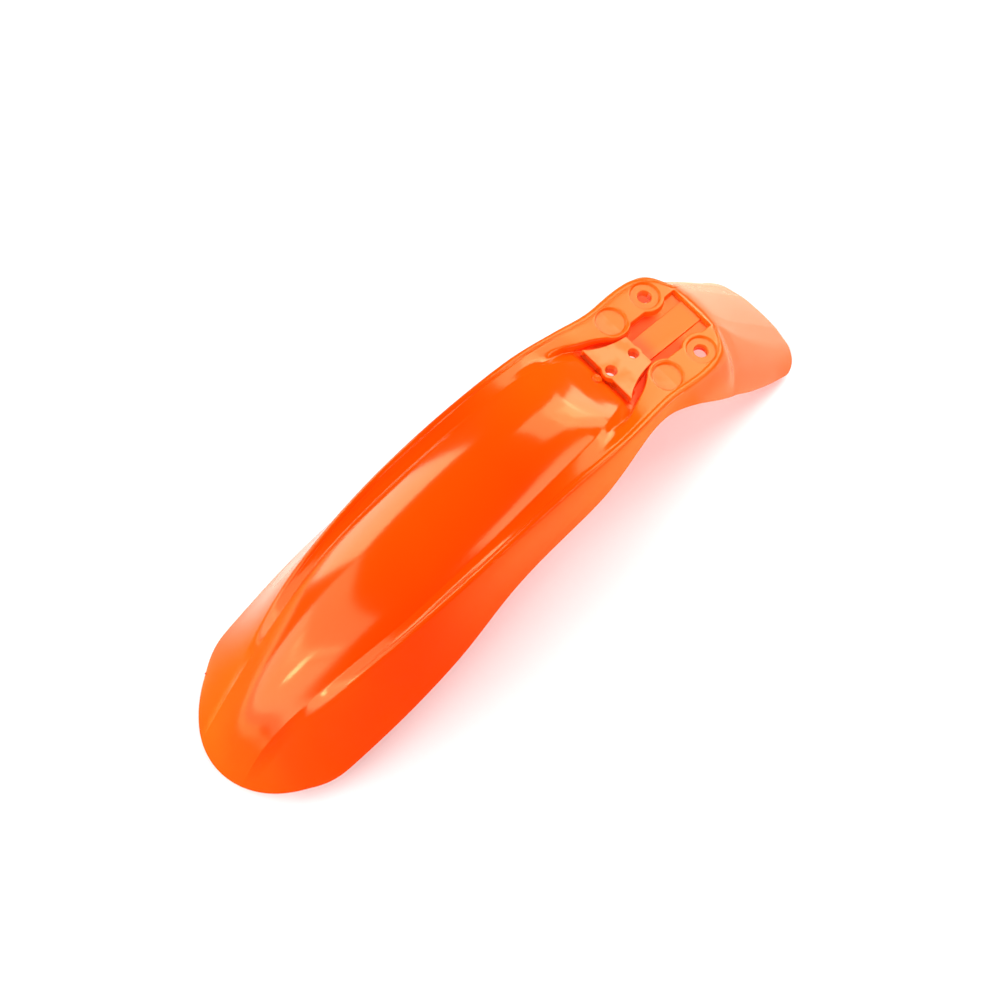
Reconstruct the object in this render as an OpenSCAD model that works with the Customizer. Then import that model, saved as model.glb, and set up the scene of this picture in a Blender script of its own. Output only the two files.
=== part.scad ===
// Front mudguard of a small off-road motorcycle, moulded in one piece.
// X is across, -Y is forwards, +Z is up. The part lies as it rests on the ground, at z = 0,
// and is centred on X and Y.

/* [Overall] */
// Length of the blade, from the deck centre to the front tip
blade_len = 454; // [400:1:540]
// Length of the tail, from the deck centre to its rear edge
tail_len = 144; // [120:1:180]
// Height of the deck centre above the tip of the blade
deck_h = 148; // [130:1:170]
// Slope of the deck down to the rear
deck_pitch = 5; // [2:0.5:8]
// Thickness of the moulded wall
wall = 2.6; // [2:0.1:3.2]

/* [Blade] */
// Width across the widest part of the skirts
blade_w = 151; // [140:1:170]
// Width across the two edges where the flanges meet the skirts
ridge_w = 108; // [100:1:112]
// Width of the dome between its two creases
dome_w = 85; // [76:1:90]
// Height of the dome above its creases
dome_rise = 17; // [8:0.5:24]
// Radius of the edge between a flange and its skirt
ridge_r = 3.4; // [3:0.1:4]

/* [Mounting deck] */
// Distance between the two rear bolt holes, across the deck
bolt_span = 63; // [60:0.5:66]
// Distance from the deck centre to the rear bolt holes
bolt_y = 18.6; // [17:0.1:20]
// Diameter of the rear bolt holes, which take the collars
bolt_d = 11.4; // [8:0.1:13]
// Distance from the deck centre to the blind seats
seat_y = 18.6; // [17:0.1:20]
// Diameter of the round seats
seat_d = 23.2; // [20:0.1:24]
// Depth of the round seats
seat_depth = 2.3; // [1:0.1:3]
// Width of the rim around each seat
seat_rim = 3.8; // [3:0.1:5]
// Length of the tubes around the bolt holes, below the seats
bolt_tube_len = 8; // [4:0.5:12]
// Depth of the pocket between the ears, at the deck centre
pocket_depth = 8; // [7:0.5:10]
// Rise of the pocket's floor to the rear
floor_tilt = 4; // [2:0.5:5]
// Width of the pocket between the straight parts of its walls
pocket_w = 41; // [38:0.5:44]
// Width of the raised strip on the floor of the pocket
strip_w = 21.4; // [16:0.2:26]
// Height of the raised strip above the floor of the pocket
strip_h = 1.6; // [0.6:0.1:3]

/* [Centre plate] */
// Distance the plate lies below the ears
plate_drop = 1.6; // [0.5:0.1:3]
// Width of the plate at its rear edge
plate_rear_w = 29; // [26:0.5:31]
// Width of the plate at its front edge
plate_front_w = 55; // [50:0.5:58]
// Distance from the deck centre to the rear edge of the plate
plate_rear_y = 18.5; // [17:0.5:19]
// Distance from the deck centre to the front edge of the plate
plate_front_y = 53; // [51:0.5:54]
// Diameter of the front hole of the plate
front_hole_d = 9.4; // [6:0.1:10]
// Distance from the deck centre to the front hole
front_hole_y = 48.2; // [46:0.1:49]
// Diameter of the second hole of the plate
rear_hole_d = 8.7; // [6:0.1:10]
// Distance from the deck centre to the second hole
rear_hole_y = 24.2; // [24:0.1:26]
// Wall of the tubes below the two holes of the plate
tube_wall = 2.6; // [2:0.1:3]
// Length of the tubes below the top of the plate
tube_len = 12; // [10:0.5:16]

/* [Hidden] */
$fn = 64;

// The stations below are distances along the deck and blade of the usual size.
// Only the stretch ahead of the deck and the stretch behind it grow with their lengths.
usual_blade = 454;
usual_tail = 144;
usual_deck_h = 148;
deck_front = 57;
deck_rear = 43;
nose_start = -380;

function place(s) =
    s < -deck_front ? -deck_front + (s + deck_front) * (blade_len - deck_front) / (usual_blade - deck_front)
    : s > deck_rear ? deck_rear + (s - deck_rear) * (tail_len - deck_rear) / (usual_tail - deck_rear)
    : s;
function height(z) = z * deck_h / usual_deck_h;
function deck_z(y) = deck_h - y * tan(deck_pitch);

// Smooth curve through a list of [station, value] points
function span_of(g, s, i = 0) = i >= len(g) - 2 || s <= g[i + 1][0] ? i : span_of(g, s, i + 1);
function slope_at(g, i) =
    let (a = max(0, i - 1), b = min(len(g) - 1, i + 1)) (g[b][1] - g[a][1]) / (g[b][0] - g[a][0]);
function curve(g, s) =
    let (
        i = span_of(g, s),
        h = g[i + 1][0] - g[i][0],
        t = (s - g[i][0]) / h
    )
    (1 + 2 * t) * pow(1 - t, 2) * g[i][1] + t * pow(1 - t, 2) * h * slope_at(g, i)
    + t * t * (3 - 2 * t) * g[i + 1][1] - t * t * (1 - t) * h * slope_at(g, i + 1);

// The channels beside the centre plate run on from the front of the pocket's tilted floor
pocket_front_y = 28;
channel_depth = pocket_depth + pocket_front_y * tan(floor_tilt);

// Guide curves of the outer surface. Heights are above the tip.
crease_z = [
    [-380, height(82)], [-340, height(106)], [-300, height(123)], [-250, height(138)],
    [-200, height(150)], [-150, height(159)], [-105, height(160.5)], [-85, height(158)],
    [-72, height(154)], [-62, deck_z(-62) - 4], [-54, deck_z(-54) - channel_depth + 1],
    [-46, deck_z(-46) - channel_depth], [-36, deck_z(-36) - channel_depth],
    [-29, deck_z(-29) - channel_depth], [-20, deck_z(-20)], [-10, deck_z(-10)], [0, deck_z(0)],
    [38, deck_z(38)]
];
rise_share = [
    [-380, 0.9], [-340, 1], [-200, 1], [-160, 0.95], [-130, 0.82], [-105, 0.56], [-85, 0.27],
    [-72, 0.09], [-62, 0], [-54, -0.05], [-46, 0], [38, 0]
];
crease_x = [
    [-380, 0.69], [-340, 0.84], [-300, 0.96], [-250, 1], [-200, 1], [-150, 0.95], [-105, 0.865],
    [-85, 0.775], [-72, 0.67], [-62, 0.565], [-54, 0.48], [-46, 0.47], [0, 0.47], [15, 0.46],
    [28, 0.42], [38, 0.33]
];
ridge_x = [
    [-380, 0.68], [-343, 0.83], [-300, 0.94], [-250, 0.985], [-200, 1], [-150, 0.995], [-100, 0.978],
    [-60, 0.93], [-30, 0.91], [0, 0.935], [15, 0.915], [24, 0.86], [31, 0.785], [35, 0.7], [38, 0.6]
];
ridge_z = [
    [-380, height(76.5)], [-343, height(106.5)], [-300, height(123.5)], [-250, height(138)],
    [-200, height(146.8)], [-150, height(152.3)], [-100, height(152)], [-60, deck_z(-60) - 3.2],
    [-40, deck_z(-40) - 0.6], [-24, deck_z(-24)], [0, deck_z(0)], [38, deck_z(38)]
];
flange_ease = [[-380, 1], [-68, 1], [-62, 2], [-54, 4], [-46, 5], [-36, 6], [38, 6]];
edge_x = [
    [-380, 0.975], [-326, 1], [-297, 0.993], [-267, 0.974], [-241, 0.944], [-210, 0.894], [-168, 0.841],
    [-130, 0.811], [-105, 0.795], [-85, 0.766], [-64, 0.728], [-50, 0.691], [-40, 0.675], [-28, 0.673],
    [-14, 0.695], [0, 0.728], [25, 0.746], [43, 0.755]
];
edge_z = [
    [-380, height(29)], [-356, height(41)], [-326, height(55.5)], [-297, height(67.5)],
    [-267, height(77.5)], [-241, height(84)], [-210, height(91)], [-168, height(93)],
    [-130, height(94)], [-105, height(98)], [-85, height(104)], [-64, height(110)],
    [-50, height(115)], [-40, height(119)], [-28, height(121.5)], [-14, height(118.5)],
    [0, height(111)], [25, height(85.5)], [43, height(68.5)]
];
dome_side = [
    [-380, 36], [-340, 40], [-200, 42], [-150, 38], [-105, 28], [-85, 16], [-72, 6], [-62, 0], [38, 0]
];
skirt_top = [
    [-380, 50], [-340, 60], [-300, 68], [-250, 74], [-200, 79], [-150, 83], [-60, 86], [0, 86],
    [15, 72], [28, 50], [38, 34]
];
skirt_foot = [
    [-380, 54], [-340, 62], [-300, 65], [-250, 66], [-200, 72], [-150, 79], [-60, 86], [0, 86], [38, 87]
];

// One row of the section is [y, z of the crown, lean of the row, K, R, E, angles].
// K is the crease, R the ridge and E the lower edge, each as [x, depth below the crown].
function body_row(s) =
    let (
        zk = curve(crease_z, s),
        top = zk + dome_rise * curve(rise_share, s)
    )
    [
        place(s), top, 0,
        [curve(crease_x, s) * dome_w / 2, top - zk],
        [curve(ridge_x, s) * ridge_w / 2, top - curve(ridge_z, s)],
        [curve(edge_x, s) * blade_w / 2, top - curve(edge_z, s)],
        [curve(dome_side, s), curve(skirt_top, s), curve(skirt_foot, s)],
        curve(flange_ease, s)
    ];

tail_top = [
    [38, deck_z(38)], [43, deck_z(43) - 0.9], [48, deck_z(48) - 4.2], [55, height(131.5)],
    [70, height(111)], [95, height(77)], [120, height(43.5)], [144, height(10.6)]
];
tail_lean = [[38, 0], [43, 0], [55, 1], [70, 3], [95, 10], [120, 24], [144, 38]];
tail_crease = [[38, 14], [43, 11], [55, 14], [70, 18], [144, 20]];
tail_crease_d = [[38, 0], [43, 0.1], [55, 0.7], [70, 1.3], [144, 0.9]];
tail_ridge = [[38, 32.4], [43, 25], [48, 25], [55, 28], [70, 33], [100, 37], [144, 39]];
tail_ridge_d = [[38, 0], [43, 1], [48, 2.6], [55, 4.6], [70, 7], [100, 7], [144, 5]];
tail_edge = [[38, 0.753], [43, 0.755], [70, 0.76], [120, 0.757], [144, 0.75]];
tail_edge_d = [[38, height(71.2)], [43, height(74)], [55, 72], [70, 65], [95, 49], [120, 32], [144, 16]];
tail_side = [[38, 0], [43, 2], [55, 6], [70, 8], [144, 6]];
tail_top_a = [[38, 34], [43, 36], [55, 40], [70, 42], [100, 36], [144, 24]];
tail_foot_a = [[38, 87], [95, 86], [120, 78], [144, 55]];
function tail_row(s) =
    [
        place(s), curve(tail_top, s), curve(tail_lean, s),
        [curve(tail_crease, s), curve(tail_crease_d, s)],
        [curve(tail_ridge, s), curve(tail_ridge_d, s)],
        [curve(tail_edge, s) * blade_w / 2, curve(tail_edge_d, s)],
        [curve(tail_side, s), curve(tail_top_a, s), curve(tail_foot_a, s)],
        1
    ];

// Curve from p to q that leaves at angle a and arrives at angle b, both below the level
function bend(p, q, a, b, t) =
    let (l = norm(q - p), u = l * [cos(a), sin(a)], v = l * [cos(b), sin(b)])
    (1 + 2 * t) * pow(1 - t, 2) * p + t * pow(1 - t, 2) * u + t * t * (3 - 2 * t) * q - t * t * (1 - t) * v;

// Half a section, from the crown to the lower edge, as [x, depth] points
dome_n = 6;
flange_n = 5;
round_n = 3;
skirt_n = 5;
half_n = dome_n + flange_n + round_n + skirt_n;
function half_section(row) =
    let (
        k = row[3], r = row[4], e = row[5], a = row[6],
        flange_a = atan2(r[1] - k[1], r[0] - k[0]),
        run = norm(r - k),
        cut = min(0.45, ridge_r / run),
        low = min(0.3, ridge_r / norm(e - r)),
        start = k + (r - k) * (1 - cut),
        stop = bend(r, e, a[1], a[2], low)
    )
    [
        for (i = [0 : dome_n - 1]) bend([0, 0], k, 0, a[0], i / dome_n),
        for (i = [0 : flange_n - 1])
            let (t = i / flange_n)
            [k[0] + (start[0] - k[0]) * t, k[1] + (start[1] - k[1]) * (1 - pow(1 - t, row[7]))],
        for (i = [0 : round_n])
            let (t = i / round_n) pow(1 - t, 2) * start + 2 * t * (1 - t) * r + t * t * stop,
        for (i = [1 : skirt_n]) bend(r, e, a[1], a[2], low + (1 - low) * i / skirt_n)
    ];

function row_points(row) =
    [for (p = half_section(row)) [p[0], row[0] - p[1] * sin(row[2]), row[1] - p[1] * cos(row[2])]];

// The nose runs on from the last straight row to the rounded front edge
nose_tilt = 42;
nose_reach = 0.52;
nose_corner = 62 / 75.5;
nose_arc = -357;
nose_lift = 25;
function tip_point(g) =
    let (x = nose_corner * g, start = place(nose_arc))
    [x * blade_w / 2, start - (blade_len + start) * sqrt(1 - x * x), height(nose_lift) * pow(x, 4)];
function nose_points(t) =
    let (a = row_points(body_row(nose_start)), b = row_points(body_row(nose_start + 6)), w = a[half_n][0])
    [
        for (i = [0 : half_n])
            let (
                p = a[i], q = tip_point(p[0] / w),
                d = (p - b[i]) / norm(p - b[i]),
                m = p + d * norm(q - p) * nose_reach
            )
            pow(1 - t, 2) * p + 2 * t * (1 - t) * m + t * t * q
    ];

// The rear corners of the tail are rounded by ending each column a little early
tail_corner = 15;
function tail_points(s) =
    [
        for (i = [0 : half_n])
            let (
                share = (s - deck_rear) / (usual_tail - deck_rear),
                side = max(0, (i / half_n - 0.55) / 0.45),
                early = tail_corner * (1 - sqrt(1 - 0.96 * side * side))
            )
            row_points(tail_row(s - max(0, share) * early))[i]
    ];

nose_rows = 7;
deck_stations = [
    -105, -94, -85, -78, -72, -67, -62, -58, -54, -50, -46, -41, -36, -32, -28, -24, -20, -10, 0,
    10, 18, 24, 29, 33, 36
];
row_step = 13.5;
body_stations = concat([for (s = [nose_start : row_step : -117]) s], deck_stations);
tail_stations = [38, 41, 43, 45, 48, 52, 58, 66, 76, 88, 100, 112, 123, 132, 139, 144];
half_rows = [
    for (i = [nose_rows : -1 : 1]) nose_points(i / nose_rows),
    for (s = body_stations) row_points(body_row(s)),
    for (s = tail_stations) tail_points(s)
];

// Both halves of a row, from the left lower edge to the right one
function both_sides(half) =
    concat([for (i = [half_n : -1 : 1]) [-half[i][0], half[i][1], half[i][2]]], half);
outer = [for (h = half_rows) both_sides(h)];
row_n = len(outer);
col_n = 2 * half_n + 1;

function unit(v) = v / norm(v);
function outward(i, j) =
    let (
        a = outer[max(0, i - 1)][j], b = outer[min(row_n - 1, i + 1)][j],
        c = outer[i][max(0, j - 1)], d = outer[i][min(col_n - 1, j + 1)]
    )
    unit(cross(unit(d - c), unit(b - a)));
inner = [for (i = [0 : row_n - 1]) [for (j = [0 : col_n - 1]) outer[i][j] - wall * outward(i, j)]];
lowest = min([for (g = [outer, inner]) for (r = g) for (p = r) p[2]]);

module sheet() {
    n = row_n * col_n;
    function at(i, j) = i * col_n + j;
    points = [for (g = [outer, inner]) for (r = g) for (p = r) p];
    faces = [
        for (i = [0 : row_n - 2]) for (j = [0 : col_n - 2]) each [
            [at(i, j), at(i + 1, j + 1), at(i, j + 1)],
            [at(i, j), at(i + 1, j), at(i + 1, j + 1)],
            [n + at(i, j), n + at(i, j + 1), n + at(i + 1, j + 1)],
            [n + at(i, j), n + at(i + 1, j + 1), n + at(i + 1, j)]
        ],
        for (i = [0 : row_n - 2]) each [
            [at(i, 0), n + at(i, 0), n + at(i + 1, 0)],
            [at(i, 0), n + at(i + 1, 0), at(i + 1, 0)],
            [at(i, col_n - 1), n + at(i + 1, col_n - 1), n + at(i, col_n - 1)],
            [at(i, col_n - 1), at(i + 1, col_n - 1), n + at(i + 1, col_n - 1)]
        ],
        for (j = [0 : col_n - 2]) each [
            [at(0, j), at(0, j + 1), n + at(0, j + 1)],
            [at(0, j), n + at(0, j + 1), n + at(0, j)],
            [at(row_n - 1, j), n + at(row_n - 1, j + 1), at(row_n - 1, j + 1)],
            [at(row_n - 1, j), n + at(row_n - 1, j), n + at(row_n - 1, j + 1)]
        ]
    ];
    polyhedron(points, faces);
}

// The deck features are drawn on the plane of the ear tops, with +Y to the rear
module on_deck() {
    translate([0, 0, deck_h]) rotate([-deck_pitch, 0, 0]) children();
}
module post(r, top, bottom) {
    translate([0, 0, bottom]) cylinder(r = r, h = top - bottom);
}
module slab(top, bottom) {
    translate([0, 0, bottom]) linear_extrude(top - bottom) children();
}
module each_bolt() {
    for (x = [-1, 1]) translate([x * bolt_span / 2, bolt_y, 0]) children();
}
module each_seat() {
    each_bolt() children();
    for (x = [-1, 1]) translate([x * bolt_span / 2, -seat_y, 0]) children();
}

cup_r = seat_d / 2 + seat_rim;
pocket_rear_y = 40;
// Cuts run this far above and below the ear tops, clear of all solids
reach = 30;
// Joined solids lap by this much, and cups and tray stop this far below the ear tops
lap = 1;
cup_sunk = 0.05;
tray_sunk = 0.8;

// Pocket between the ears, with the round seats standing into it
module pocket_outline(grow, front) {
    difference() {
        translate([-pocket_w / 2 - grow, -front])
            square([pocket_w + 2 * grow, front + pocket_rear_y + grow]);
        each_seat() circle(r = cup_r - grow);
    }
}
// The floor of the pocket rises to the rear
module on_floor() {
    translate([0, 0, -pocket_depth]) rotate([floor_tilt, 0, 0]) children();
}
module under_floor(drop) {
    on_floor() translate([-reach, -2 * reach, -2 * reach - drop]) cube([2 * reach, 4 * reach, 2 * reach]);
}
module pocket_tray() {
    difference() {
        slab(-tray_sunk, -reach) pocket_outline(wall, pocket_front_y);
        under_floor(wall);
    }
}
module pocket_cut() {
    difference() {
        slab(reach, -reach) pocket_outline(0, pocket_front_y + 3 * lap);
        under_floor(0);
    }
}
module strip() {
    on_floor() translate([-strip_w / 2, -plate_rear_y - lap, -wall / 2])
        cube([strip_w, pocket_rear_y + plate_rear_y + 2 * lap, strip_h + wall / 2]);
}

// Seats: a cup below each one carries its floor and the wall that shows in the pocket
module seat_cups() {
    each_seat() {
        post(cup_r, -cup_sunk, -seat_depth - wall);
        difference() {
            post(cup_r, -seat_depth, -pocket_depth - wall / 2);
            post(cup_r - wall, -seat_depth, -reach);
        }
    }
}
module bolt_tubes() {
    each_bolt() post(bolt_d / 2 + tube_wall, -seat_depth, -seat_depth - bolt_tube_len);
}

// Centre plate: a hollow block, narrow at the rear and flared to the front
plate_waist = 2.5;
plate_steps = 8;
function plate_side(inset) =
    let (
        rear = [plate_rear_w / 2 - inset, -plate_rear_y - inset],
        waist = [plate_rear_w / 2 + plate_waist - inset, -(plate_rear_y + 2 * plate_front_y) / 3],
        front = [plate_front_w / 2 - 1.5 * inset, -plate_front_y + inset]
    )
    [
        for (i = [0 : plate_steps])
            let (t = i / plate_steps) pow(1 - t, 2) * rear + 2 * t * (1 - t) * waist + t * t * front
    ];
module plate_outline(inset) {
    side = plate_side(inset);
    polygon(concat(side, [for (i = [plate_steps : -1 : 0]) [-side[i][0], side[i][1]]]));
}
module tubes(grow) {
    translate([0, -front_hole_y]) circle(r = front_hole_d / 2 + grow);
    translate([0, -rear_hole_y]) circle(r = rear_hole_d / 2 + grow);
}
module plate_block() {
    slab(-plate_drop, -channel_depth - wall / 2) plate_outline(0);
    slab(-plate_drop, -plate_drop - tube_len) tubes(tube_wall);
}
module plate_hollow() {
    difference() {
        slab(-plate_drop - wall, -reach) plate_outline(wall);
        slab(0, -reach - lap) tubes(tube_wall);
    }
}

// Small round mark that the moulding gate leaves on the slope ahead of the plate
gate_at = [-2.7, -60.5, -4.2];
gate_slope = 27;
gate_r = 3.6;
gate_rim = 1.3;
gate_h = 1;
module gate_mark() {
    translate(gate_at) rotate([-gate_slope, 0, 0]) difference() {
        post(gate_r, gate_h, -wall);
        post(gate_r - gate_rim, gate_h + lap, gate_h / 2);
    }
}

module mudguard() {
    color("orangered")
    translate([0, (blade_len - tail_len) / 2, -lowest])
    difference() {
        union() {
            difference() {
                union() {
                    sheet();
                    on_deck() pocket_tray();
                    on_deck() seat_cups();
                    on_deck() bolt_tubes();
                }
                on_deck() pocket_cut();
            }
            on_deck() strip();
            on_deck() plate_block();
            on_deck() gate_mark();
        }
        on_deck() plate_hollow();
        on_deck() each_seat() post(seat_d / 2, reach, -seat_depth);
        on_deck() each_bolt() post(bolt_d / 2, reach, -reach);
        on_deck() slab(reach, -reach) tubes(0);
    }
}

mudguard();
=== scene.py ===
import math

import bmesh
import bpy
from mathutils import Matrix, Vector


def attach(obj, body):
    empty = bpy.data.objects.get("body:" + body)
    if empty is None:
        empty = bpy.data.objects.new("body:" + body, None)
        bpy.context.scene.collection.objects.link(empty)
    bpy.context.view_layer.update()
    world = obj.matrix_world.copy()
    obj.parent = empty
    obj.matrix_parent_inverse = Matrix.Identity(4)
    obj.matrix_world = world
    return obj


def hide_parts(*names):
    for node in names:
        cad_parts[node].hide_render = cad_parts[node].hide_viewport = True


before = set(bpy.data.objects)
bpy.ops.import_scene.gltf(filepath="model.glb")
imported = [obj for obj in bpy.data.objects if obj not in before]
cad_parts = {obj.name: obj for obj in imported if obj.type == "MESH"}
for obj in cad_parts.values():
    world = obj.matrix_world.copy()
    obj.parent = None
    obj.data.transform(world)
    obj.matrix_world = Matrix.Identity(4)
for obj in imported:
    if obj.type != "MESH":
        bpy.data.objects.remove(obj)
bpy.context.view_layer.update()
mm = 0.001

# Camera, at the photo's viewing angle
view = {
    "turn": 47.7,  # degrees round the part, from the front
    "height": 68.2,  # degrees above the level of the deck
    "roll": 2.3,  # how far the part rests nose down from the deck's level
    "distance": 1541.7 * mm,
    "across": -124.2 * mm,
    "up": -123.3 * mm,
    "lens": 72.73,
    "deck": (0, 155 * mm, 148.97 * mm),
}


def makeCamera():
    a, e = math.radians(view["turn"]), math.radians(view["height"])
    back = Vector((math.sin(a) * math.cos(e), -math.cos(a) * math.cos(e), math.sin(e)))
    right = Vector((math.cos(a), math.sin(a), 0))
    up = back.cross(right)
    away = right * view["across"] + up * view["up"] + back * view["distance"]
    tilt = Matrix.Rotation(math.radians(view["roll"]), 3, "X")
    camera = bpy.data.objects.new("camera", bpy.data.cameras.new("camera"))
    camera.data.lens = view["lens"]
    camera.data.sensor_width = 36
    facing = tilt @ Matrix((right, up, back)).transposed()
    camera.matrix_world = Matrix.Translation(Vector(view["deck"]) + tilt @ away) @ facing.to_4x4()
    bpy.context.collection.objects.link(camera)
    bpy.context.scene.camera = camera


makeCamera()
print("camera ready")

# Shell, swept along the blade, the deck and the tail; sizes in millimetres
shell = {
    "wall": 2.6,
    "rimRound": 1,
    "beadHigh": 0.45,
    "beadWide": 2.8,
    "deckHeight": 148,
    "deckPitch": 5,
    "halfRidge": 54,
    "halfBlade": 75.5,
    "halfDome": 42.5,
    "domeRise": 17,
    "dipShare": 0.7,  # depth of the dip beside the bead, to the bead's height
    "ridgeCut": 3.4,  # how far from the ridge's corner its round begins
    "pocketDepth": 8,
    "floorTilt": 4,
    "pocketHalf": 20.5,
    "pocketRear": 40,
    "seatX": 31.5,
    "seatY": 18.6,
    "cupRadius": 15.4,
    "tip": -454,
    "noseStart": -380,
    "noseSide": -357,  # where the rounded front edge meets the blade's sides
    "noseHalf": 62,  # half width of the front edge there
    "noseLift": 25,  # height of the front edge's ends above the tip
    "noseReach": 0.52,  # how far the nose runs on straight before it bends down
    "earMeets": -29.4,  # where the ears' edge goes over into the pocket's wall
    "deckEnd": 38,
    "cornerFrom": 43,  # from here on the tail's outer columns end early
    "tailEnd": 144,
    "lowest": -0.97,  # height and station of the frame's origin
    "centre": 155,
}
deckSlope = math.tan(math.radians(shell["deckPitch"]))
floorSlope = math.tan(math.radians(shell["floorTilt"]))


def deckZ(s):
    return shell["deckHeight"] - s * deckSlope


def curveAt(guide, s):
    last = len(guide) - 2
    i = 0
    while i < last and s > guide[i + 1][0]:
        i += 1

    def slope(k):
        a, b = max(0, k - 1), min(len(guide) - 1, k + 1)
        return (guide[b][1] - guide[a][1]) / (guide[b][0] - guide[a][0])

    h = guide[i + 1][0] - guide[i][0]
    t = (s - guide[i][0]) / h
    return (
        (1 + 2 * t) * (1 - t) ** 2 * guide[i][1]
        + t * (1 - t) ** 2 * h * slope(i)
        + t * t * (3 - 2 * t) * guide[i + 1][1]
        - t * t * (1 - t) * h * slope(i + 1)
    )


def ease(a, b, s):
    t = min(1, max(0, (s - a) / (b - a)))
    return t * t * (3 - 2 * t)


def below(s, depth):
    return deckZ(s) - depth


def floorDepth(s):
    # the pocket's floor rises to the rear, and the channels beside the plate run on level from it
    return shell["pocketDepth"] - max(-28, min(40, s)) * floorSlope


def floorAt(s):
    return below(s, floorDepth(s))


# Guide curves along the blade: station, value
guides = {
    "creaseZ": [
        (-380, 82), (-340, 106), (-300, 123), (-250, 138), (-200, 150), (-150, 159), (-105, 160.5),
        (-85, 158), (-72, 154), (-62, below(-62, 4)), (-54, floorAt(-54) + 1), (-46, floorAt(-46)),
        (-36, floorAt(-36)), (-28, floorAt(-28)), (0, floorAt(0)), (38, floorAt(38)),
    ],
    "riseShare": [
        (-380, 0.9), (-340, 1), (-200, 1), (-160, 0.95), (-130, 0.82), (-105, 0.56), (-85, 0.27),
        (-72, 0.09), (-62, 0), (-54, -0.02), (-46, 0), (38, 0),
    ],
    "creaseX": [
        (-380, 0.69), (-340, 0.84), (-300, 0.96), (-250, 1), (-200, 1), (-150, 0.95), (-105, 0.865),
        (-85, 0.775), (-72, 0.67), (-62, 0.565), (-54, 0.47), (-46, 0.4), (-36, 0.36), (0, 0.3), (38, 0.3),
    ],
    "ridgeX": [
        (-380, 0.68), (-343, 0.83), (-300, 0.95), (-250, 1.02), (-200, 1.046), (-150, 1.046),
        (-100, 1.03), (-60, 0.965), (-30, 0.91), (0, 0.935), (15, 0.915), (24, 0.86), (31, 0.785),
        (35, 0.7), (38, 0.6),
    ],
    "ridgeZ": [
        (-380, 76.5), (-343, 106.5), (-300, 125.5), (-250, 143.5), (-200, 154.6), (-150, 160.6),
        (-100, 160.4), (-60, below(-60, -2.4)), (-40, below(-40, -0.8)), (-24, below(-24, 0)),
        (0, below(0, 0)),
        (38, below(38, 0)),
    ],
    "edgeX": [
        (-380, 0.99), (-326, 1.022), (-297, 1.018), (-267, 1), (-241, 0.956), (-210, 0.896),
        (-168, 0.841), (-130, 0.811), (-105, 0.79), (-85, 0.756), (-64, 0.704), (-50, 0.67),
        (-40, 0.657), (-28, 0.663), (-14, 0.69), (0, 0.728), (25, 0.746), (43, 0.755),
    ],
    "edgeZ": [
        (-380, 24), (-356, 33), (-326, 45.5), (-297, 57), (-267, 68), (-241, 78.5), (-210, 90),
        (-168, 93), (-130, 94), (-105, 99), (-85, 107), (-64, 116), (-50, 120), (-40, 122.5), (-28, 123.5),
        (-14, 118.5), (0, 111), (25, 85.5), (43, 68.5),
    ],
    "domeSide": [
        (-380, 36), (-340, 40), (-200, 42), (-150, 38), (-105, 30), (-85, 18), (-72, 7), (-62, 0), (38, 0),
    ],
    "skirtTop": [
        (-380, 50), (-340, 60), (-300, 68), (-250, 74), (-200, 77), (-150, 79), (-60, 84), (0, 86),
        (15, 72), (28, 50), (38, 34),
    ],
    "skirtFoot": [
        (-380, 54), (-340, 62), (-300, 65), (-250, 66), (-200, 72), (-150, 79), (-60, 86), (0, 86), (38, 87),
    ],
    # ear edge: half width and height above the straight line from crease to ridge
    "earX": [
        (-380, 32.5), (-343, 40), (-300, 45.5), (-250, 47.5), (-200, 48), (-150, 46.5), (-105, 44),
        (-80, 41.6), (-65, 38.5), (-52, 33), (-42, 28.8), (-36, 25.4), (-29.4, 20.9),
    ],
    "earShare": [(-380, 0), (-130, 0), (-100, 0.35), (-80, 1), (38, 1)],
    "valley": [
        (-380, 0), (-120, 0), (-88, 0), (-81, 1.2), (-74, 3.6), (-67, 6), (-60, 8), (-54, 9.3),
        (-48, floorDepth(-48)), (-36, floorDepth(-36)), (-28, floorDepth(-28)), (0, floorDepth(0)),
        (38, floorDepth(38)),
    ],
    "tailTop": [
        (38, below(38, 0)), (43, below(43, 0.9)), (48, below(48, 4.2)), (55, 131.5), (70, 111), (95, 77),
        (120, 43.5), (144, 10.6),
    ],
    "tailLean": [(38, 0), (43, 0), (55, 1), (70, 3), (95, 10), (120, 24), (144, 38)],
    "tailCrease": [(38, 14), (43, 11), (55, 14), (70, 18), (144, 20)],
    "tailCreaseD": [(38, 0), (43, 0.1), (55, 0.7), (70, 1.3), (144, 0.9)],
    "tailRidge": [(38, 32.4), (43, 25), (48, 25), (55, 28), (70, 33), (100, 37), (144, 39)],
    "tailRidgeD": [(38, 0), (43, 1), (48, 2.6), (55, 4.6), (70, 7), (100, 7), (144, 5)],
    "tailEdge": [(38, 0.753), (43, 0.755), (70, 0.76), (120, 0.757), (144, 0.75)],
    "tailEdgeD": [(38, 71.2), (43, 74), (55, 72), (70, 65), (95, 49), (120, 32), (144, 16)],
    "tailSide": [(38, 0), (43, 2), (55, 6), (70, 8), (144, 6)],
    "tailTopA": [(38, 34), (43, 36), (55, 40), (70, 42), (100, 36), (144, 24)],
    "tailFootA": [(38, 87), (95, 86), (120, 78), (144, 55)],
}


def guide(name, s):
    return curveAt(guides[name], s)


def wallX(s):
    # half width of the pocket: straight, with the seats' round walls standing into it
    x = shell["pocketHalf"]
    for centre in (-shell["seatY"], shell["seatY"]):
        reach = shell["cupRadius"] ** 2 - (s - centre) ** 2
        if reach > 0:
            x = min(x, shell["seatX"] - math.sqrt(reach))
    return x


def earX(s):
    return guide("earX", s) if s < shell["earMeets"] else wallX(s)


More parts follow.
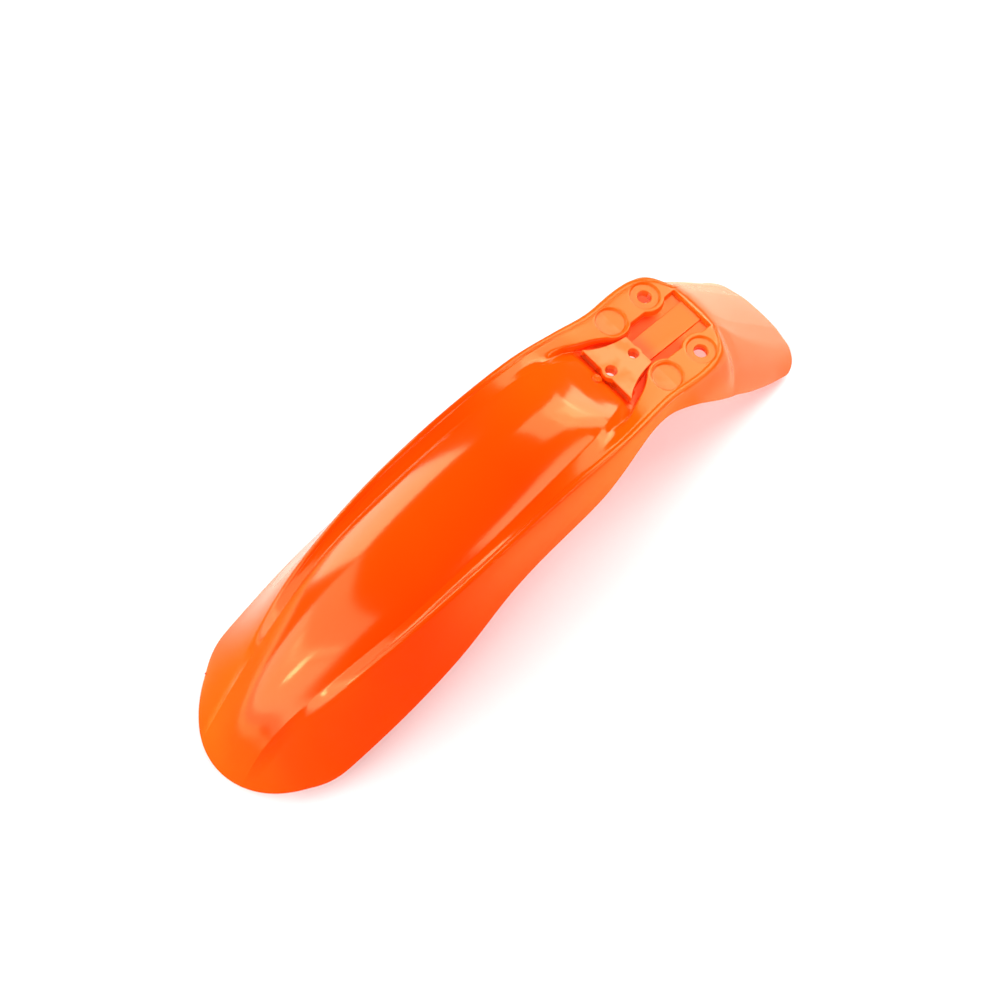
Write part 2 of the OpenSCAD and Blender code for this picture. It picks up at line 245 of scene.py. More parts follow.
def vec(x, y):
    return Vector((x, y))


def bend(p, q, a, b, t):
    run = (q - p).length
    u = vec(math.cos(math.radians(a)), math.sin(math.radians(a))) * run
    v = vec(math.cos(math.radians(b)), math.sin(math.radians(b))) * run
    return (
        p * ((1 + 2 * t) * (1 - t) ** 2)
        + u * (t * (1 - t) ** 2)
        + q * (t * t * (3 - 2 * t))
        - v * (t * t * (1 - t))
    )


def turnAt(start, corner, stop, t):
    return start * (1 - t) ** 2 + corner * (2 * t * (1 - t)) + stop * t * t


def roundOff(start, corner, stop, n):
    return [turnAt(start, corner, stop, i / n) for i in range(n)]


def straight(start, stop, n):
    return [start.lerp(stop, i / n) for i in range(n)]


columns = {
    "dome": 16, "creaseRound": 4, "floor": 3, "valleyRound": 4, "wall": 2, "earRound": 5, "ear": 5,
    "bead": 6, "ridgeRound": 10, "skirt": 14,
}
halfColumns = sum(columns.values())


def bladeRow(s, soft):
    crease = guide("creaseZ", s)
    row = {
        "lean": 0,
        "crown": crease + shell["domeRise"] * guide("riseShare", s),
        "k": vec(guide("creaseX", s) * shell["halfDome"], crease),
        "r": vec(guide("ridgeX", s) * shell["halfRidge"], guide("ridgeZ", s)),
        "e": vec(guide("edgeX", s) * shell["halfBlade"], guide("edgeZ", s)),
        "angles": (guide("domeSide", s), guide("skirtTop", s), guide("skirtFoot", s)),
    }
    k, r, x = row["k"], row["r"], earX(s)
    line = k.y + (r.y - k.y) * (x - k.x) / (r.x - k.x)
    j = vec(x, line + (deckZ(s) - line) * guide("earShare", s))
    # the wall from the channel up to the flange is upright at the pocket and leans out ahead of it
    if s > shell["earMeets"]:
        v = vec(x - 0.3, floorAt(s))
    else:
        gap = 0.3 + 1.7 * ease(-34, -50, s) + 3 * ease(-60, -90, s)
        v = vec(x - min(gap, 0.5 * (x - k.x)), 0)
        onLine = k.y + (j.y - k.y) * (v.x - k.x) / (j.x - k.x)
        v.y = onLine + (min(onLine, j.y - guide("valley", s)) - onLine) * ease(-94, -83, s)
    row["v"], row["j"] = v, j
    # how far the rounds of crease, channel and ear edge reach; larger on the underside
    row["cuts"] = (2.2, 1.6, 4.4) if soft else (1.3, 1, 0.9 + 2.5 * ease(-50, -90, s))
    row["bead"] = 0 if soft else shell["beadHigh"] * ease(-350, -300, s)
    return row


def tailRow(s, soft):
    top = guide("tailTop", s)
    floor = floorAt(s)
    k = vec(guide("tailCrease", s), top - guide("tailCreaseD", s))
    r = vec(guide("tailRidge", s), top - guide("tailRidgeD", s))
    pocketK = guide("creaseX", shell["deckEnd"]) * shell["halfDome"]
    k.x = pocketK + (k.x - pocketK) * ease(41, 50, s)
    x = earX(s)
    x += (k.x + (r.x - k.x) * 0.6 - x) * ease(41, 50, s)
    j = vec(x, k.y + (r.y - k.y) * (x - k.x) / (r.x - k.x))
    v = vec(x - 0.3 - 1.7 * ease(44, 52, s), 0)
    v.y = k.y + (j.y - k.y) * (v.x - k.x) / (j.x - k.x)
    if soft:
        k.y, v.y, top = min(k.y, floor), min(v.y, floor), min(top, floor)
        cuts = (2.2, 1.6, 4.4)
    else:
        left = 1 - ease(shell["pocketRear"] - 0.9, shell["pocketRear"] + 0.3, s)
        k.y += (floor - k.y) * left
        v.y += (floor - v.y) * left
        top += (floor - top) * left
        cuts = (1.3, 1, 0.9)
    return {
        "bead": 0 if soft else shell["beadHigh"] * ease(60, 44, s),
        "lean": guide("tailLean", s),
        "crown": top,
        "k": k, "v": v, "j": j, "r": r,
        "e": vec(guide("tailEdge", s) * shell["halfBlade"], guide("tailTop", s) - guide("tailEdgeD", s)),
        "angles": (guide("tailSide", s), guide("tailTopA", s), guide("tailFootA", s)),
        "cuts": cuts,
    }


def halfSection(row):
    # heights become depths below the level, so that every angle is one below the level
    o, k, v, j, r, e = (vec(p.x, -p.y) for p in (vec(0, row["crown"]), *(row[n] for n in "kvjre")))
    side, topA, footA = row["angles"]
    cutK, cutV, cutJ = row["cuts"]
    cutK = min(cutK, 0.4 * (v - k).length)
    cutV = min(cutV, 0.45 * (j - v).length, 0.5 * (v - k).length)
    cutJ = min(cutJ, 0.45 * (j - v).length, 0.45 * (r - j).length)
    cutR = min(0.45 * (r - j).length, shell["ridgeCut"])
    low = min(0.3, shell["ridgeCut"] / (e - r).length)
    near = 1 - cutK / max(10, (k - o).length)
    kIn, kOut = bend(o, k, 0, side, near), k + (v - k).normalized() * cutK
    vIn, vOut = v + (k - v).normalized() * cutV, v + (j - v).normalized() * cutV
    jIn, jOut = j + (v - j).normalized() * cutJ, j + (r - j).normalized() * cutJ
    rIn, rOut = r + (j - r).normalized() * cutR, bend(r, e, topA, footA, low)
    # the bead stands on the ridge, behind a shallow dip
    lift = vec((r - j).y, -(r - j).x).normalized() * row["bead"]
    start = rIn + (j - rIn).normalized() * min(shell["beadWide"], 0.6 * (rIn - jOut).length)
    n = columns
    beadPoints = []
    for i in range(n["bead"]):
        dip = shell["dipShare"] * math.sin(math.pi * min(1, i / (n["bead"] / 2)))
        beadPoints.append(start.lerp(rIn, i / n["bead"]) + lift * (ease(1, n["bead"], i) - dip))
    rIn, corner = rIn + lift, r + lift
    points = [bend(o, k, 0, side, near * i / n["dome"]) for i in range(n["dome"])]
    points += roundOff(kIn, k, kOut, n["creaseRound"])
    points += straight(kOut, vIn, n["floor"])
    points += roundOff(vIn, v, vOut, n["valleyRound"])
    points += straight(vOut, jIn, n["wall"])
    points += roundOff(jIn, j, jOut, n["earRound"])
    points += straight(jOut, start, n["ear"]) + beadPoints
    points += roundOff(rIn, corner, rOut, n["ridgeRound"])
    points += [bend(r, e, topA, footA, low + (1 - low) * i / n["skirt"]) for i in range(n["skirt"] + 1)]
    return points


def rowPoints(s, soft):
    row = tailRow(s, soft) if s > shell["deckEnd"] else bladeRow(s, soft)
    lean = math.radians(row["lean"])
    crown = row["crown"]
    return [
        Vector((p.x, s - (p.y + crown) * math.sin(lean), crown - (p.y + crown) * math.cos(lean)))
        for p in halfSection(row)
    ]


def nosePoints(t, soft):
    # runs on from the last straight row to the rounded front edge
    a = rowPoints(shell["noseStart"], soft)
    b = rowPoints(shell["noseStart"] + 6, soft)
    w = a[-1].x
    side, points = shell["noseSide"], []
    for p, q in zip(a, b):
        x = shell["noseHalf"] / shell["halfBlade"] * p.x / w
        front = side + (shell["tip"] - side) * math.sqrt(1 - x * x)
        tip = Vector((x * shell["halfBlade"], front, shell["noseLift"] * x**4))
        mid = p + (p - q).normalized() * (tip - p).length * shell["noseReach"]
        points.append(turnAt(p, mid, tip, t))
    return points


tailCorner = {
    "early": 15,  # how far ahead of the middle the outermost column would end
    "share": 0.45,  # part of the half width that the corner takes
    "fullness": 0.96,
    "spread": (6, 11, 14, 19),  # parts of the half width up to the ends of dome, flange, ridge and skirt
}


def cornerEarly(i):
    # the rear corners of the tail are rounded by ending the outer columns a little early
    ridgeEnd = halfColumns - columns["skirt"]
    ends = (columns["dome"], ridgeEnd - columns["ridgeRound"], ridgeEnd, halfColumns)
    spread, share = tailCorner["spread"], tailCorner["share"]
    part = 0
    while i > ends[part + 1]:
        part += 1
    along = (spread[part + 1] - spread[part]) * (i - ends[part]) / (ends[part + 1] - ends[part])
    side = max(0, ((spread[part] + along) / spread[-1] - (1 - share)) / share)
    return tailCorner["early"] * (1 - math.sqrt(1 - tailCorner["fullness"] * side * side))


def stations():
    noseRows = 26
    noses = [i / noseRows for i in range(noseRows, 0, -1)]

    def run(a, b, step):
        n = max(1, round((b - a) / step))
        return [a + (b - a) * i / n for i in range(n)]

    body = (
        run(-380, -120, 4) + run(-120, -70, 2) + run(-70, -29.4, 1.25) + run(-29.4, -7.8, 0.9)
        + run(-7.8, 7.8, 1.5) + run(7.8, 29.4, 0.9) + run(29.4, 38, 1.1) + run(38, 41.4, 0.25)
        + run(41.4, 46, 0.5) + run(46, 60, 1.2) + run(60, 144, 3) + [144]
    )
    return noses, body


# Evening out of the rows: how often, and the stations up to which it is full and at which it ends
evening = {"turns": 24, "full": -150, "end": -105}


def outerRows(soft):
    noses, body = stations()
    start, stop, corner, step = shell["deckEnd"] + 2, shell["tailEnd"], shell["cornerFrom"], 0.5
    table = [rowPoints(start + step * i, soft) for i in range(int((stop - start) / step) + 1)]
    rows = [nosePoints(t, soft) for t in noses]
    for s in body:
        if s <= corner:
            rows.append(rowPoints(s, soft))
            continue
        points = []
        for i in range(halfColumns + 1):
            at = (s - (s - corner) / (stop - corner) * cornerEarly(i) - start) / step
            low = min(int(at), len(table) - 2)
            points.append(table[low][i].lerp(table[low + 1][i], at - low))
        rows.append(points)
    # even out the joints between the guide curves' stretches, ahead of the deck
    firm = len(noses) + sum(1 for s in body if s < evening["full"])
    fade = len(noses) + sum(1 for s in body if s < evening["end"])
    for turn in range(evening["turns"]):
        fresh = [list(r) for r in rows]
        for i in range(1, fade):
            strength = 0.5 if i < firm else 0.5 * (fade - i) / (fade - firm)
            for j in range(halfColumns + 1):
                fresh[i][j] = rows[i][j].lerp((rows[i - 1][j] + rows[i + 1][j]) / 2, strength)
        rows = fresh
    return rows


def bothSides(half):
    return [Vector((-p.x, p.y, p.z)) for p in half[:0:-1]] + half


def offsetRows(rows, wall):
    count, wide = len(rows), len(rows[0])
    moved = []
    for i in range(count):
        line = []
        for j in range(wide):
            along = rows[min(count - 1, i + 1)][j] - rows[max(0, i - 1)][j]
            across = rows[i][min(wide - 1, j + 1)] - rows[i][max(0, j - 1)]
            line.append(rows[i][j] - across.cross(along).normalized() * wall)
        moved.append(line)
    return moved


def place(p):
    return Vector((p.x, p.y + shell["centre"], p.z - shell["lowest"])) * mm


def makeObject(name, bm):
    mesh = bpy.data.meshes.new(name)
    bm.to_mesh(mesh)
    bm.free()
    thing = bpy.data.objects.new(name, mesh)
    bpy.context.collection.objects.link(thing)
    return thing


def outwardEdge(rows, i, j):
    # direction in which the sheet would run on past its rim
    last, wide = len(rows) - 1, len(rows[0]) - 1
    if i in (0, last) and j in (0, wide):
        beside = outwardEdge(rows, 1 if i == 0 else last - 1, j)
        return (beside + outwardEdge(rows, i, 1 if j == 0 else wide - 1)).normalized()
    way = Vector((0, 0, 0))
    if i in (0, last):
        way += (rows[i][j] - rows[1 if i == 0 else last - 1][j]).normalized()
    if j in (0, wide):
        way += (rows[i][j] - rows[i][1 if j == 0 else wide - 1]).normalized()
    return way.normalized()


def makeShell():
    outer = [bothSides(r) for r in outerRows(False)]
    inner = offsetRows([bothSides(r) for r in outerRows(True)], shell["wall"])
    count, wide, cuts = len(outer), len(outer[0]), 5
    bm = bmesh.new()
    bmesh.ops.create_grid(bm, x_segments=wide - 1, y_segments=count - 1, size=1)

    def spot(v):
        return round((v.co.y + 1) / 2 * (count - 1)), round((v.co.x + 1) / 2 * (wide - 1))

    upper = {v: spot(v) for v in bm.verts}
    copy = bmesh.ops.duplicate(bm, geom=bm.verts[:] + bm.edges[:] + bm.faces[:])["geom"]
    lower = {v: spot(v) for v in copy if isinstance(v, bmesh.types.BMVert)}
    bmesh.ops.reverse_faces(bm, faces=[f for f in copy if isinstance(f, bmesh.types.BMFace)])
    border = {c for c in upper.values() if c[0] in (0, count - 1) or c[1] in (0, wide - 1)}
    rims = {c: outwardEdge(outer, *c) * shell["rimRound"] for c in border}
    for i, j in border:
        outer[i][j] = outer[i][j] - rims[i, j]
        inner[i][j] = inner[i][j] - rims[i, j]
    for v, (i, j) in upper.items():
        v.co = place(outer[i][j])
    for v, (i, j) in lower.items():
        v.co = place(inner[i][j])
    # the rim goes round in new rows, from the outer skin to the inner one
    ring = {v: c for v, c in upper.items() if c in border}
    rimEdges = [e for e in bm.edges if e.is_boundary and e.verts[0] in ring]
    for k in range(1, cuts + 1):
        fresh = bmesh.ops.extrude_edge_only(bm, edges=rimEdges)["geom"]
        rimEdges = [e for e in fresh if isinstance(e, bmesh.types.BMEdge)]
        newRing = {}
        for v in fresh:
            if isinstance(v, bmesh.types.BMVert):
                for e in v.link_edges:
                    if e.other_vert(v) in ring:
                        newRing[v] = ring[e.other_vert(v)]
        turn = math.pi * k / (cuts + 1)
        for v, c in newRing.items():
            o, q = outer[c[0]][c[1]], inner[c[0]][c[1]]
            v.co = place(o.lerp(q, (1 - math.cos(turn)) / 2)) + rims[c] * mm * math.sin(turn)
        ring = newRing
    lowerEdges = [e for e in bm.edges if e.is_boundary and e.verts[0] in lower]
    rimEdges = [e for e in rimEdges if e.is_boundary]
    bmesh.ops.bridge_loops(bm, edges=rimEdges + lowerEdges)
    bmesh.ops.recalc_face_normals(bm, faces=bm.faces)
    return makeObject("shell", bm)


mudguard = makeShell()
print("shell ready", len(mudguard.data.polygons), "faces")

# What stands on and is cut into the deck, in the deck's own frame
deckTilt = Matrix.Rotation(math.radians(-shell["deckPitch"]), 4, "X")
deckMatrix = Matrix.Translation(Vector(view["deck"])) @ deckTilt
deck = {
    "seatRadius": 11.6, "seatDepth": 2.3, "seatFillet": 0.6, "seatLean": 0.5, "boltRadius": 5.7,
    "cupHalf": 15, "cupFoot": -4.9, "cupTop": -1, "boltTubeEnd": -10.3, "boltTubeTop": -3,
    "stripHalf": 10.7, "stripRise": 1.6, "stripFoot": -1.3, "stripFront": -19.5, "stripRear": 41,
    "toolEnd": -31, "toolTop": 8, "plateFoot": -11.4,
    "plateTop": -1.4, "plateRear": (14.5, -18.5), "plateWaist": (17, -41.5), "plateFront": (27.5, -53),
    "frontHole": (48.2, 4.7), "rearHole": (24.2, 4.35), "tubeWall": 2.6, "tubeEnd": -13.6,
    "gate": (-2.7, -60.5, -3.7), "gateSlope": 27, "gateRadius": 4.1,
    "undercut": (7.4, 25.6), "undercutDeep": 1.9,
}


def onDeck(bm):
    bmesh.ops.scale(bm, vec=(mm, mm, mm), verts=bm.verts)
    bmesh.ops.transform(bm, matrix=deckMatrix, verts=bm.verts)


def turned(name, profile, at, steps=72, tilt=0):
    # closed form turned from a profile of (radius, height) points
    bm = bmesh.new()
    verts = [bm.verts.new((r, 0, h)) for r, h in profile]
    edges = [bm.edges.new((a, b)) for a, b in zip(verts, verts[1:])]
    bmesh.ops.spin(
        bm, geom=verts + edges, cent=(0, 0, 0), axis=(0, 0, 1), angle=math.tau, steps=steps, use_merge=True
    )
    bmesh.ops.remove_doubles(bm, verts=bm.verts, dist=0.0005)
    bmesh.ops.recalc_face_normals(bm, faces=bm.faces)
    bmesh.ops.rotate(bm, verts=bm.verts, matrix=Matrix.Rotation(math.radians(-tilt), 3, "X"))
    bmesh.ops.translate(bm, verts=bm.verts, vec=at)
    onDeck(bm)
    return makeObject(name, bm)


def quarter(cx, cy, r, start, n=5):
    # points round a quarter circle, from the angle start on for 90 degrees
    angles = [math.radians(start + 90 * i / n) for i in range(n + 1)]
    return [(cx + r * math.cos(a), cy + r * math.sin(a)) for a in angles]


def extruded(name, outline, top, bottom, rimRound, tilt=0, lift=0):
    bm = bmesh.new()
    verts = [bm.verts.new((x, y, bottom)) for x, y in outline]
    face = bm.faces.new(verts)
    up = bmesh.ops.extrude_face_region(bm, geom=[face])
    lifted = [v for v in up["geom"] if isinstance(v, bmesh.types.BMVert)]
    bmesh.ops.translate(bm, verts=lifted, vec=(0, 0, top - bottom))
    bmesh.ops.recalc_face_normals(bm, faces=bm.faces)
    if rimRound:
        rim = [e for e in bm.edges if all(abs(v.co.z - top) < 1e-6 for v in e.verts)]
        bmesh.ops.bevel(
            bm, geom=rim, offset=rimRound, segments=3, profile=0.5, affect="EDGES", material=-1,
            clamp_overlap=True,
        )
    bmesh.ops.rotate(bm, verts=bm.verts, matrix=Matrix.Rotation(math.radians(tilt), 3, "X"))
    bmesh.ops.translate(bm, verts=bm.verts, vec=(0, 0, lift))
    onDeck(bm)
    return makeObject(name, bm)


def combine(base, tool, operation):
    step = base.modifiers.new("step", "BOOLEAN")
    step.operation = operation
    step.solver = "MANIFOLD"
    step.object = tool
    graph = bpy.context.evaluated_depsgraph_get()
    mesh = bpy.data.meshes.new_from_object(base.evaluated_get(graph))
    base.modifiers.clear()
    base.data = mesh
    bpy.data.objects.remove(tool)
    print("  ", operation.lower(), len(base.data.polygons), "faces")


def plateSide(inset):
    a, b, c = (Vector(deck[n]) for n in ("plateRear", "plateWaist", "plateFront"))
    a, b, c = a - Vector((inset, inset)), b - Vector((inset, 0)), c - Vector((1.5 * inset, -inset))
    count = 20
    return [tuple(turnAt(a, b, c, i / count)) for i in range(count + 1)]


def plateOutline(inset=0):
    side = plateSide(inset)
    return side + [(-x, y) for x, y in reversed(side)]


def eachSeat():
    return [(x, y) for x in (-shell["seatX"], shell["seatX"]) for y in (-shell["seatY"], shell["seatY"])]


def drill(radius, mouth, fillet, wide):
    # tool for a hole from far below up to its mouth, whose edge it rounds, with a wide head above
    low, high = deck["toolEnd"], deck["toolTop"]
    lip = []
    for a in (0.52, 1.05, 1.57):
        lip.append((radius + fillet - fillet * math.cos(a), mouth - fillet + fillet * math.sin(a)))
    end = radius + fillet + wide
    shaft = [(0, low), (radius, low), (radius, mouth - fillet)]
    return shaft + lip + [(end, mouth + 0.02), (end, high), (0, high)]


def addSolids():
    d = deck
    half, low, top = d["cupHalf"], d["cupFoot"], d["cupTop"]
    cup = [(0, low), (half, low), (half, top), (0, top)]
    for x, y in eachSeat():
        combine(mudguard, turned("cup", cup, (x, y, 0)), "UNION")
    wide, low, top = d["boltRadius"] + d["tubeWall"], d["boltTubeEnd"], d["boltTubeTop"]
    boltTube = [(0, low), (wide - 0.4, low), (wide, low + 0.4), (wide, top), (0, top)]
    for x in (-shell["seatX"], shell["seatX"]):
        combine(mudguard, turned("boltTube", boltTube, (x, shell["seatY"], 0), 56), "UNION")
    half, front, rear = d["stripHalf"], d["stripFront"], d["stripRear"]
    outline = [(-half, front), (half, front), (half, rear), (-half, rear)]
    top, low = d["stripRise"], d["stripFoot"]
    strip = extruded("strip", outline, top, low, 0.35, shell["floorTilt"], -shell["pocketDepth"])
    combine(mudguard, strip, "UNION")
    combine(mudguard, extruded("plate", plateOutline(), d["plateTop"], d["plateFoot"], 0.5), "UNION")
    for y, r in (d["frontHole"], d["rearHole"]):
        wide = r + d["tubeWall"]
        tube = [(0, d["tubeEnd"]), (wide, d["tubeEnd"])]
        tube += quarter(wide - 0.5, d["plateTop"] - 0.5, 0.5, 0) + [(0, d["plateTop"])]
        combine(mudguard, turned("tube", tube, (0, -y, 0), 56), "UNION")
    wide = d["gateRadius"]
    mark = [(0, -2.6), (wide, -2.6)] + quarter(wide - 0.4, 0.6, 0.4, 0, 3)
    mark += quarter(wide - 0.8, 0.6, 0.4, 90, 3) + [(wide - 1.4, 0.3), (0, 0.3)]
    combine(mudguard, turned("gate", mark, d["gate"], 40, d["gateSlope"]), "UNION")


def cutHollows():
    d = deck
    hollow = extruded("hollow", plateOutline(shell["wall"]), d["plateTop"] - shell["wall"], -30, 0)
    for y, r in (d["frontHole"], d["rearHole"]):
        wide = r + d["tubeWall"]
        tube = [(0, d["toolEnd"]), (wide, d["toolEnd"]), (wide, 0), (0, 0)]
        combine(hollow, turned("tube", tube, (0, -y, 0), 56), "DIFFERENCE")
    combine(mudguard, hollow, "DIFFERENCE")
    # the plate's front edge stands out a little over the wall below it, on both sides of the tube
    inner, outer = d["undercut"]
    front = d["plateFront"][1]
    for side in (-1, 1):
        a, b = sorted((side * inner, side * outer))
        deep = front + d["undercutDeep"]
        recess = [(a, front - 1), (b, front - 1), (b, deep), (a, deep)]
        combine(mudguard, extruded("recess", recess, d["plateTop"] - 2.4, -8.6, 0), "DIFFERENCE")


def cutHoles():
    d = deck
    for y, r in (d["frontHole"], d["rearHole"]):
        combine(mudguard, turned("hole", drill(r, d["plateTop"], 0.45, 1.2), (0, -y, 0), 48), "DIFFERENCE")
    seat, low, f = d["seatRadius"], -d["seatDepth"], d["seatFillet"]
    form = [(0, low), (seat - f, low)] + quarter(seat - f, low + f, f, -90, 4)[1:3]
    # the wall leans out a little up to its rounded edge
    edge = seat + d["seatLean"] + f
    form += [(edge - f * math.cos(a), -f + f * math.sin(a)) for a in (0.5, 0.8, 1.1, 1.35, 1.5708)]
    form += [(edge + 0.6, 0.02), (edge + 0.6, 6), (0, 6)]
    for x, y in eachSeat():
        combine(mudguard, turned("seat", form, (x, y, 0), 80), "DIFFERENCE")
    for x in (-shell["seatX"], shell["seatX"]):
        bolt = drill(d["boltRadius"], low, 0.4, 0.6)
        combine(mudguard, turned("bolt", bolt, (x, shell["seatY"], 0), 56), "DIFFERENCE")


addSolids()
cutHollows()
cutHoles()
mudguard.name = "mudguardShell"
for p in mudguard.data.polygons:
    p.use_smooth = True
shading = mudguard.modifiers.new("shading", "WEIGHTED_NORMAL")
shading.keep_sharp = True
shading.weight = 80
print("deck ready", len(mudguard.data.polygons), "faces")
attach(mudguard, "root")
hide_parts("mudguard")


# Materials
class Signal:
    # the output of a shader node, with which shader maths can be written as Python
    def __init__(self, tree, output):
        self.tree = tree
        self.output = output

    def make(self, kind, settings, values, output=0):
        node = self.tree.nodes.new(kind)
        for name, value in settings.items():
            setattr(node, name, value)
        for name, value in values.items():
            self.feed(node.inputs[name], value)
        return Signal(self.tree, node.outputs[output])

    def feed(self, target, value):
        if isinstance(value, Signal):
            self.tree.links.new(value.output, target)
        else:
            target.default_value = value

    def math(self, operation, a, b):
        return self.make("ShaderNodeMath", {"operation": operation}, {0: a, 1: b})

    def __add__(self, other):
        return self.math("ADD", self, other)

    def __radd__(self, other):
        return self.math("ADD", other, self)

    def __rsub__(self, other):
        return self.math("SUBTRACT", other, self)

    def __mul__(self, other):
        return self.math("MULTIPLY", self, other)

    def __rmul__(self, other):
        return self.math("MULTIPLY", other, self)

    def ramp(self, low, high):
        # 0 below low and 1 above high, with a smooth step between
        return self.make(
            "ShaderNodeMapRange",
            {"interpolation_type": "SMOOTHSTEP"},
            {"Value": self, "From Min": low, "From Max": high},
        )

    def noise(self, scale, detail=2):
        return self.make("ShaderNodeTexNoise", {}, {"Vector": self, "Scale": scale, "Detail": detail})

    def mix(self, a, b):
        # colour between a and b, by this signal
        return self.make("ShaderNodeMix", {"data_type": "RGBA"}, {"Factor": self, 6: a, 7: b}, 2)

    def axis(self, name):
        return self.make("ShaderNodeSeparateXYZ", {}, {"Vector": self}, name)


def newMaterial(name):
    material = bpy.data.materials.new(name)
    material.use_nodes = True
    tree = material.node_tree
    where = Signal(tree, tree.nodes.new("ShaderNodeTexCoord").outputs["Object"])
    return material, tree.nodes["Principled BSDF"].inputs, where


plasticLook = {
    "orange": (1.0, 0.054, 0.0, 1),
    "deeper": (1.0, 0.048, 0.0, 1),
    # painted light: a lighter orange on the blade's rear and on the deck
    "litNearDeck": (1.0, 0.098, 0.001, 1),
    # painted light: the deck's raised flat faces are lighter, as if lit from above
    "litDeckTop": (1.0, 0.115, 0.003, 1),
    # painted reflection: peach patches on the plate's top
    "plateSheenOrange": (1.0, 0.2, 0.06, 1),
    "pocket": 0.36,  # added roughness on the pocket's floor
    "gloss": 0.12,
    "satin": 0.12,  # added roughness on the raised faces of the deck
    "glint": (1.0, 1.0, 0.42, 1),
}


def makePlastic():
    look = plasticLook
    plastic, inputs, where = newMaterial("orangePlastic")
    x, y, z = (where.axis(n) for n in "XYZ")
    cloud = where.noise(9)
    patch = where.noise(70, 3)
    grain = where.noise(900, 2)
    lift = z + deckSlope * y  # level across the deck
    deckBand = y.ramp(0.09, 0.105) * (1 - y.ramp(0.188, 0.196))
    flat = deckBand * lift.ramp(0.1552, 0.1562)
    hollow = deckBand * (1 - lift.ramp(0.1552, 0.1562)) * (1 - (x * x).ramp(0.0009, 0.0012))
    plate = (1 - y.ramp(0.136, 0.138)) * lift.ramp(0.16, 0.1605) * (1 - lift.ramp(0.1613, 0.1618))
    orange = cloud.ramp(0.35, 0.65).mix(look["orange"], look["deeper"])
    # painted light: the blade's rear and the deck get a lighter orange; the hollows are kept out of it, so
    # they stay darker as painted shade
    orange = (y.ramp(-0.02, 0.09) * (1 - hollow)).mix(orange, look["litNearDeck"])
    # painted light: a lighter orange on the deck's raised flat faces, as if lit from above
    orange = flat.mix(orange, look["litDeckTop"])
    # painted reflection: blotchy peach patches on the plate's top stand in for its uneven highlights
    plateSheen = flat * plate * where.noise(60).ramp(0.3, 0.6)
    where.feed(inputs["Base Color"], plateSheen.mix(orange, look["plateSheenOrange"]))
    dull = flat * look["satin"] + hollow * (x * x).ramp(0.000112, 0.00012) * look["pocket"]
    where.feed(inputs["Roughness"], look["gloss"] + patch * 0.03 + dull)
    inputs["Specular Tint"].default_value = look["glint"]
    height = grain * (0.15 + flat * 0.6) + patch * (0.5 + flat * 1.2)
    bump = where.make("ShaderNodeBump", {}, {"Strength": 0.06, "Distance": 0.0004, "Height": height})
    where.feed(inputs["Normal"], bump)
    return plastic


# Colours of the paper; those marked glossy are painted reflections, only seen in the plastic
paperLook = {
    "plain": (0.99, 0.925, 0.915, 1),
    # glossy painted reflections, from the nose to the tail
    "nose": (1, 0.5, 0.04, 1),
    "blade": (1, 0.9, 0.75, 1),
    "deck": (1, 0.88, 1, 1),
    "tail": (1, 0.86, 0.64, 1),
    # glossy painted shade and painted bounce light, to the right of the blade and of the tail
    "glossShade": (0.06, 0.02, 0.0, 1),
    "glossBounce": (1, 0.5, 0.13, 1),
    # glossy, a painted glow standing in for the light from the lit end of the table in front
    "off": (0, 0, 0, 1),
    "front": (1, 0.84, 0.68, 1),
    "strength": 2.0,
    "roughness": 0.9,
    "specular": 0.1,
}


def makePaper():
    look = paperLook
    paper, inputs, where = newMaterial("whitePaper")
    x, y = where.axis("X"), where.axis("Y")
    # seen in the plastic, the paper to the right of the blade gets painted shade, with painted orange bounce
    # light towards the tail
    beside = (0.9 * x + 0.35 * (y + 0.3)).ramp(0.0, 0.12) * (1 - y.ramp(0.16, 0.34))
    glossBounce = y.ramp(-0.16, 0.02).mix(look["glossShade"], look["glossBounce"])
    glossy = Signal(where.tree, where.tree.nodes.new("ShaderNodeLightPath").outputs["Is Glossy Ray"])
    # painted reflection: the paper's colour as seen in the plastic, tinted from the nose to the tail
    clear = y.ramp(-0.3, -0.19).mix(look["nose"], look["blade"])
    clear = y.ramp(-0.17, -0.03).mix(clear, look["deck"])
    clear = y.ramp(0.1, 0.3).mix(clear, look["tail"])
    where.feed(inputs["Base Color"], glossy.mix(look["plain"], beside.mix(clear, glossBounce)))
    # and a painted glow in front, where the lit end of the table stands, seen only in the plastic
    front = (1 - y.ramp(-0.75, -0.45)) * (1 - beside) * glossy
    where.feed(inputs["Emission Color"], front.mix(look["off"], look["front"]))
    inputs["Emission Strength"].default_value = look["strength"]
    inputs["Roughness"].default_value = look["roughness"]
    inputs["Specular IOR Level"].default_value = look["specular"]
    return paper


mudguard.data.materials.clear()
mudguard.data.materials.append(makePlastic())
print("materials ready")


# Studio
def makeFloor():
    bm = bmesh.new()
    bmesh.ops.create_grid(bm, x_segments=2, y_segments=2, size=5)
    floor = makeObject("floor", bm)
    floor.data.materials.append(makePaper())


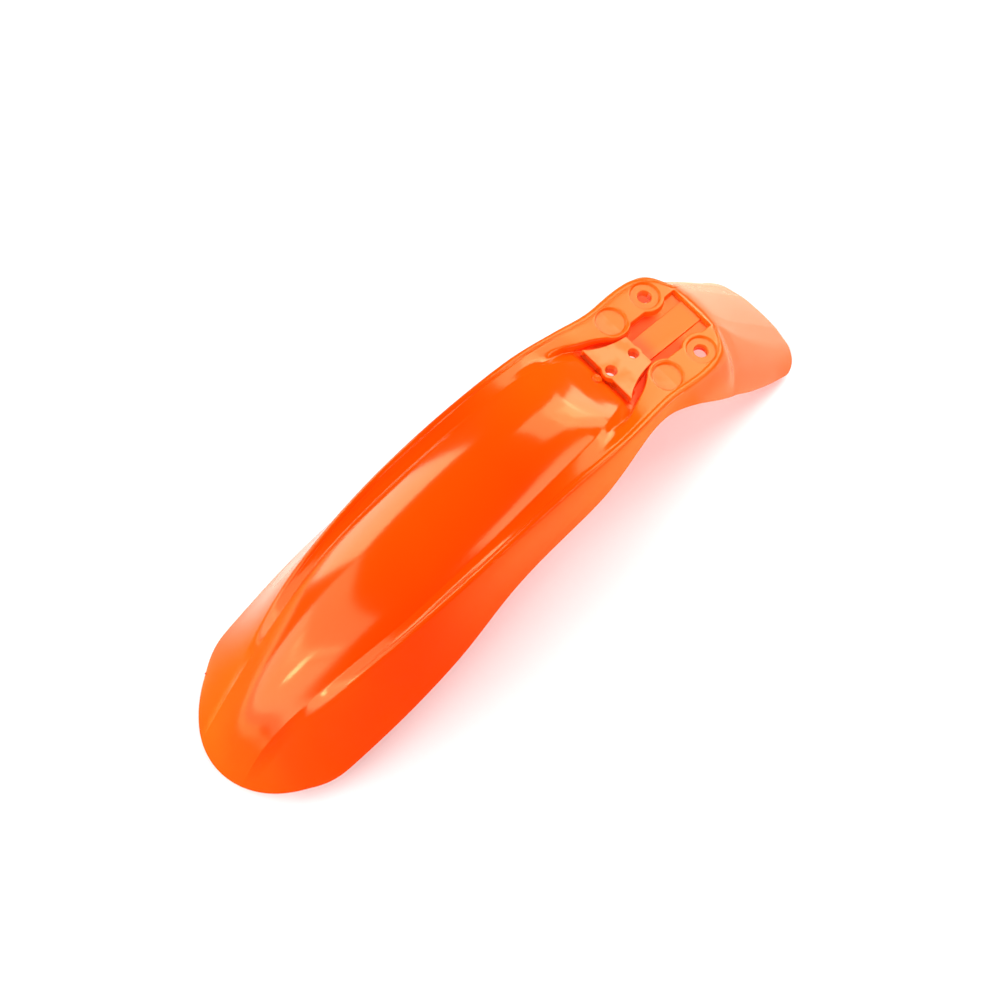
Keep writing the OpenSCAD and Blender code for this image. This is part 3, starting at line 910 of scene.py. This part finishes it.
def makeWorld():
    world = bpy.data.worlds.new("studio")
    bpy.context.scene.world = world
    world.use_nodes = True
    tree = world.node_tree
    inputs = tree.nodes["Background"].inputs
    inputs["Color"].default_value = (1, 1, 1, 1)
    # white behind the part, and next to no light on it
    seen = Signal(tree, tree.nodes.new("ShaderNodeLightPath").outputs["Is Camera Ray"])
    seen.feed(inputs["Strength"], 0.03 + seen * 0.97)


# Softboxes: degrees round from the right, degrees down from straight above, metres away,
# width and height in metres, brightness, and degrees turned in its own plane
softboxes = {
    "left": (191, 72, 2, 0.85, 1.3, 6.2, 0),
    "rear": (95, 48, 2, 1.45, 0.8, 5.2, 0),
    "rearCore": (95, 50, 2, 0.5, 0.5, 3, 0),
    "rearLow": (98, 66, 2, 0.75, 0.65, 6.5, 8),
    "rearHigh": (100, 29, 2, 1.4, 0.6, 3.4, 0),
    "rightRear": (21, 54, 2, 1.75, 0.5, 4.2, 14),
    "frontWide": (262, 60, 2, 4.0, 1.85, 2.6, 0),
    "frontLow": (262, 77, 2, 3.8, 1.1, 1.7, 0),
    "frontStrip": (272, 60, 2, 2.6, 0.16, 2.5, 0),
    "frontGlint": (284, 65, 2, 0.26, 0.2, 14, 0),
}


def makeSoftbox(name, around, down, away, width, height, bright, turn):
    target = Vector((0, 0, 0.12))
    a, e = math.radians(around), math.radians(down)
    way = Vector((math.cos(a) * math.sin(e), math.sin(a) * math.sin(e), math.cos(e)))
    lamp = bpy.data.lights.new(name, "AREA")
    lamp.shape = "RECTANGLE"
    lamp.size, lamp.size_y = width, height
    lamp.energy = bright * math.pi * width * height
    thing = bpy.data.objects.new(name, lamp)
    bpy.context.collection.objects.link(thing)
    aim = (-way).to_track_quat("-Z", "Y").to_matrix() @ Matrix.Rotation(math.radians(turn), 3, "Z")
    thing.matrix_world = Matrix.Translation(target + way * away) @ aim.to_4x4()
    thing.visible_camera = False


makeFloor()
makeWorld()
for name, values in softboxes.items():
    makeSoftbox(name, *values)
bpy.context.scene.view_settings.view_transform = "Standard"
print("studio ready")
